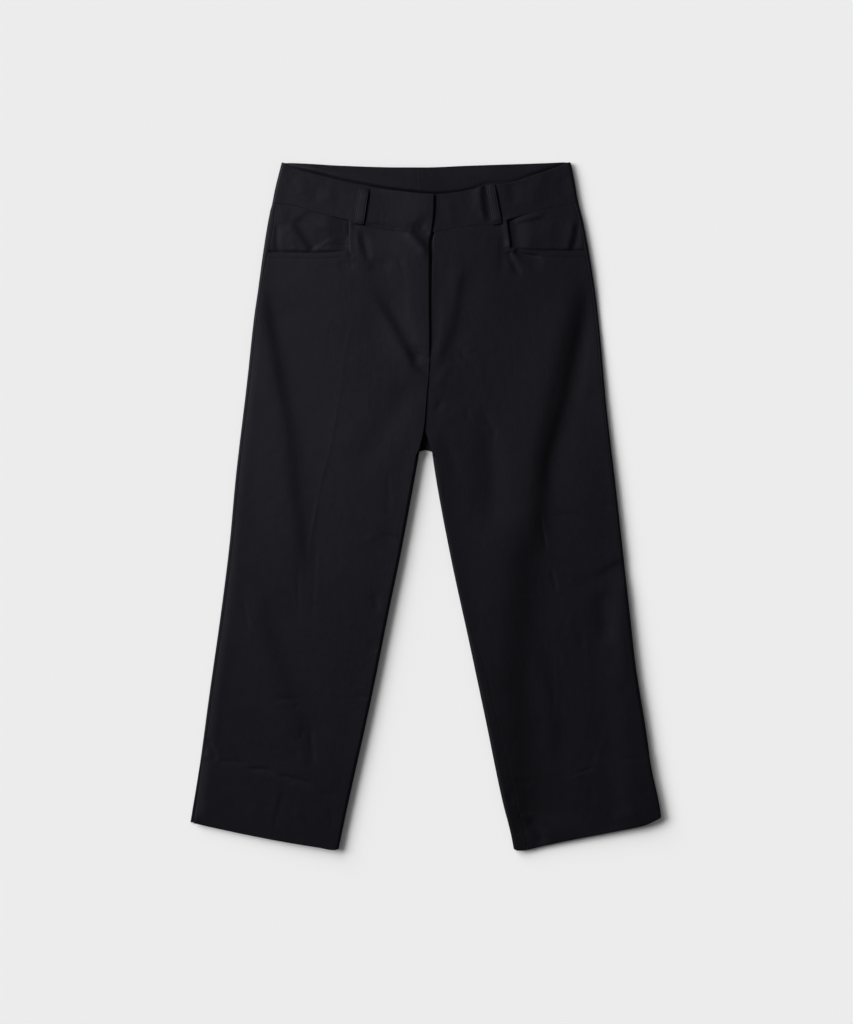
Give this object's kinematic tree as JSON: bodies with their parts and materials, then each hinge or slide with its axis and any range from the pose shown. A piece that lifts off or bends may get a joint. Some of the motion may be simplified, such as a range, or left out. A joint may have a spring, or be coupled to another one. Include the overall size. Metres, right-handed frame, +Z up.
{
  "type": "capri pants",
  "caption": "Black cropped trousers laid flat on their back, with a contoured waistband, belt loops, L-shaped front pockets, a zip fly and deep hems with side vents.",
  "frame": {"origin": "centre of the bounding box at its underside, on the surface that the garment lies on", "axes": "+X to the wearer's left, +Y from the hems to the waist, +Z up from the surface"},
  "size_m": [0.6024, 0.8803, 0.01],
  "materials": {
    "gabardine": "smooth black gabardine with a faint sheen",
    "zip_tape": "matt black woven tape",
    "dark_metal": "black lacquered metal"
  },
  "bodies": {
    "root": {"front_right": "gabardine", "front_left": "gabardine", "back_right": "gabardine", "back_left": "gabardine", "pocket_facing_right": "gabardine", "pocket_facing_left": "gabardine", "waistband_right": "gabardine", "waistband_left": "gabardine", "belt_loop_front_right": "gabardine", "belt_loop_front_left": "gabardine", "belt_loop_back_right": "gabardine", "belt_loop_back_left": "gabardine", "fly_shield": "gabardine", "zip_tape_right": "zip_tape", "zip_tape_left": "zip_tape", "zip_chain": "zip_tape", "zip_slider": "dark_metal", "zip_pull": "dark_metal", "waist_hook": "dark_metal", "waist_bar": "dark_metal"}
  },
  "joints": []
}
